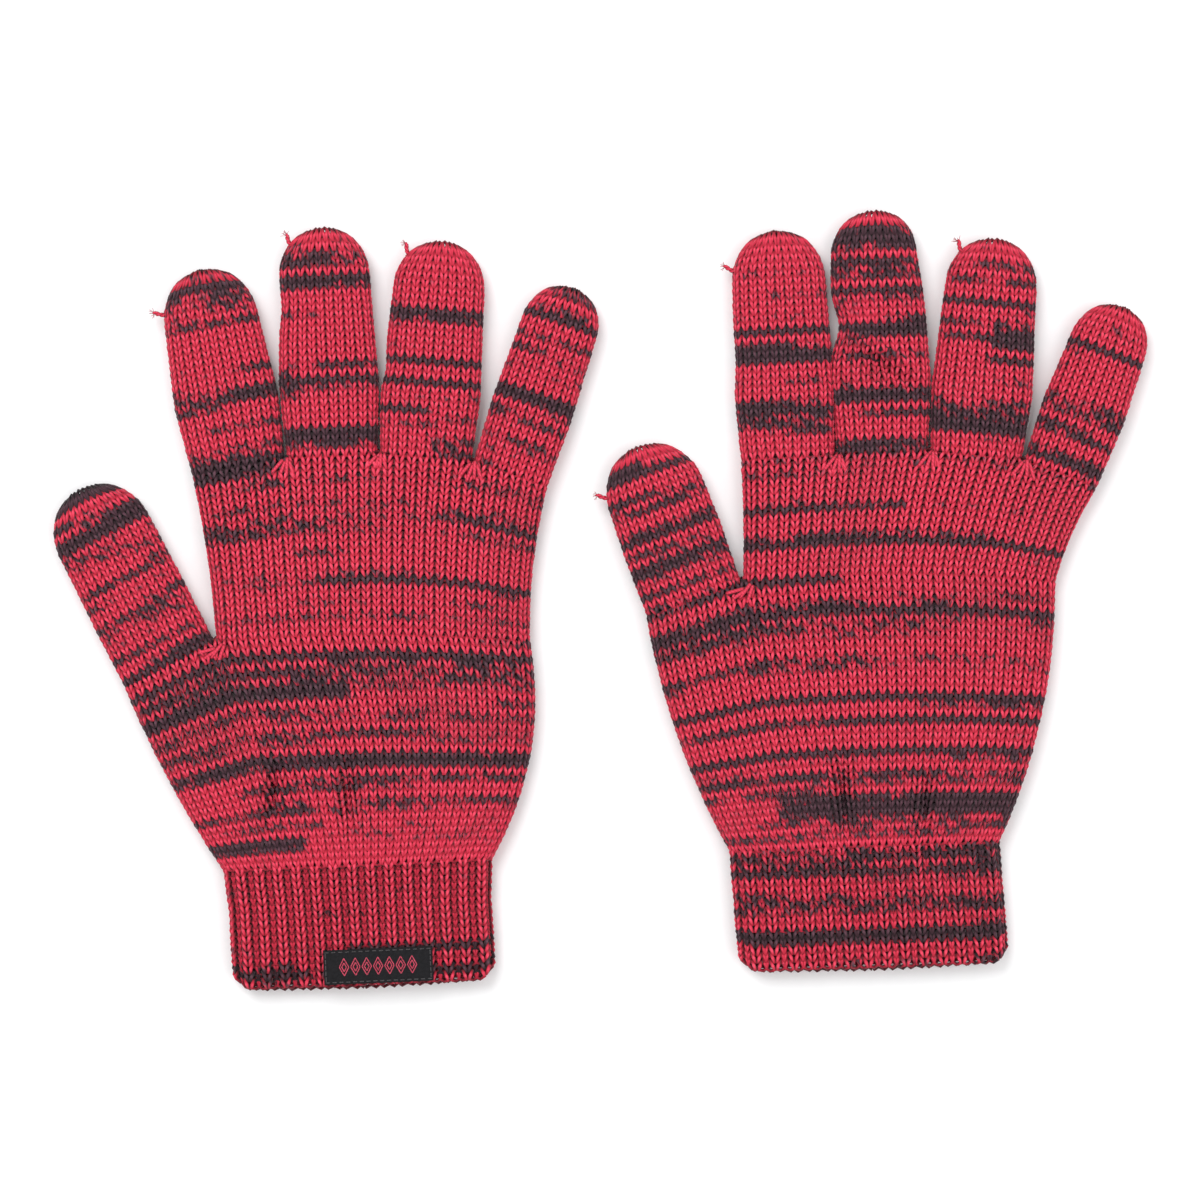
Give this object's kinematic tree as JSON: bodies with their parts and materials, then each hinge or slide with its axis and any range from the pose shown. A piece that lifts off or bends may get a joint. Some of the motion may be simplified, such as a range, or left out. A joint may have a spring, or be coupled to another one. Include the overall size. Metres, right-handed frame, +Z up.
{
  "type": "knitted gloves",
  "caption": "Pair of machine-knitted five-finger gloves with ribbed elastic cuffs, lying flat with one back up and one palm up.",
  "frame": {"origin": "on the surface that the pair lies on, under the middle of the pair", "axes": "+X across the pair from the right glove to the left glove, +Y from the cuffs to the fingertips, +Z up"},
  "size_m": [0.3321, 0.2351, 0.0099],
  "materials": {
    "knit": "two-strand marled yarn, pink-red and dark plum",
    "elastic": "covered elastic thread",
    "label_cloth": "black woven tape",
    "label_thread": "sewing thread"
  },
  "bodies": {
    "right_palm": {"right_upper_palm": "knit", "right_lower_palm": "knit", "right_crotch_links": "knit"},
    "right_cuff": {"right_cuff_rib": "knit", "right_cuff_welt": "knit", "right_elastic_threads": "elastic", "right_label": "label_cloth", "right_label_stitches": "label_thread"},
    "right_index": {"right_index": "knit", "right_index_tail": "knit"},
    "right_middle": {"right_middle": "knit", "right_middle_tail": "knit"},
    "right_ring": {"right_ring": "knit", "right_ring_tail": "knit"},
    "right_little": {"right_little": "knit"},
    "right_thumb": {"right_thumb": "knit"},
    "left_palm": {"left_upper_palm": "knit", "left_lower_palm": "knit", "left_crotch_links": "knit"},
    "left_cuff": {"left_cuff_rib": "knit", "left_cuff_welt": "knit", "left_elastic_threads": "elastic"},
    "left_index": {"left_index": "knit", "left_index_tail": "knit"},
    "left_middle": {"left_middle": "knit"},
    "left_ring": {"left_ring": "knit", "left_ring_tail": "knit"},
    "left_little": {"left_little": "knit"},
    "left_thumb": {"left_thumb": "knit", "left_thumb_tail": "knit"}
  },
  "joints": [
    {"name": "right_index_fold", "type": "hinge", "parent": "right_palm", "child": "right_index", "pos_m": [-0.10924, 0.04044, 0.009], "axis": [0.9833, 0.1822, 0], "range_deg": [0, 90]},
    {"name": "right_middle_fold", "type": "hinge", "parent": "right_palm", "child": "right_middle", "pos_m": [-0.0809, 0.0437, 0.009], "axis": [0.999, 0.0436, 0], "range_deg": [0, 90]},
    {"name": "right_ring_fold", "type": "hinge", "parent": "right_palm", "child": "right_ring", "pos_m": [-0.05266, 0.0432, 0.009], "axis": [0.9969, -0.0785, 0], "range_deg": [0, 90]},
    {"name": "right_little_fold", "type": "hinge", "parent": "right_palm", "child": "right_little", "pos_m": [-0.02703, 0.03825, 0.009], "axis": [0.9483, -0.3173, 0], "range_deg": [0, 90]},
    {"name": "right_thumb_fold", "type": "hinge", "parent": "right_palm", "child": "right_thumb", "pos_m": [-0.13001, -0.01934, 0.009], "axis": [0.891, 0.454, 0], "range_deg": [0, 80]},
    {"name": "right_cuff_fold", "type": "hinge", "parent": "right_palm", "child": "right_cuff", "pos_m": [-0.0732, -0.0794, 0.009], "axis": [-0.999, -0.0436, 0], "range_deg": [0, 90]},
    {"name": "left_index_fold", "type": "hinge", "parent": "left_palm", "child": "left_index", "pos_m": [0.05678, 0.04326, 0.009], "axis": [0.9986, 0.0523, 0], "range_deg": [0, 90]},
    {"name": "left_middle_fold", "type": "hinge", "parent": "left_palm", "child": "left_middle", "pos_m": [0.08535, 0.04451, 0.009], "axis": [0.9994, 0.0349, 0], "range_deg": [0, 90]},
    {"name": "left_ring_fold", "type": "hinge", "parent": "left_palm", "child": "left_ring", "pos_m": [0.11359, 0.04376, 0.009], "axis": [0.9962, -0.0872, 0], "range_deg": [0, 90]},
    {"name": "left_little_fold", "type": "hinge", "parent": "left_palm", "child": "left_little", "pos_m": [0.13907, 0.03829, 0.009], "axis": [0.9367, -0.3502, 0], "range_deg": [0, 90]},
    {"name": "left_thumb_fold", "type": "hinge", "parent": "left_palm", "child": "left_thumb", "pos_m": [0.02833, 0.0004, 0.009], "axis": [0.9397, 0.342, 0], "range_deg": [0, 80]},
    {"name": "left_cuff_fold", "type": "hinge", "parent": "left_palm", "child": "left_cuff", "pos_m": [0.0798, -0.0741, 0.009], "axis": [-0.9994, -0.0349, 0], "range_deg": [0, 90]},
    {"name": "left_glove_slide", "type": "slide", "parent": "right_palm", "child": "left_palm", "axis": [1, 0, 0], "range_m": [0, 0.15]}
  ]
}
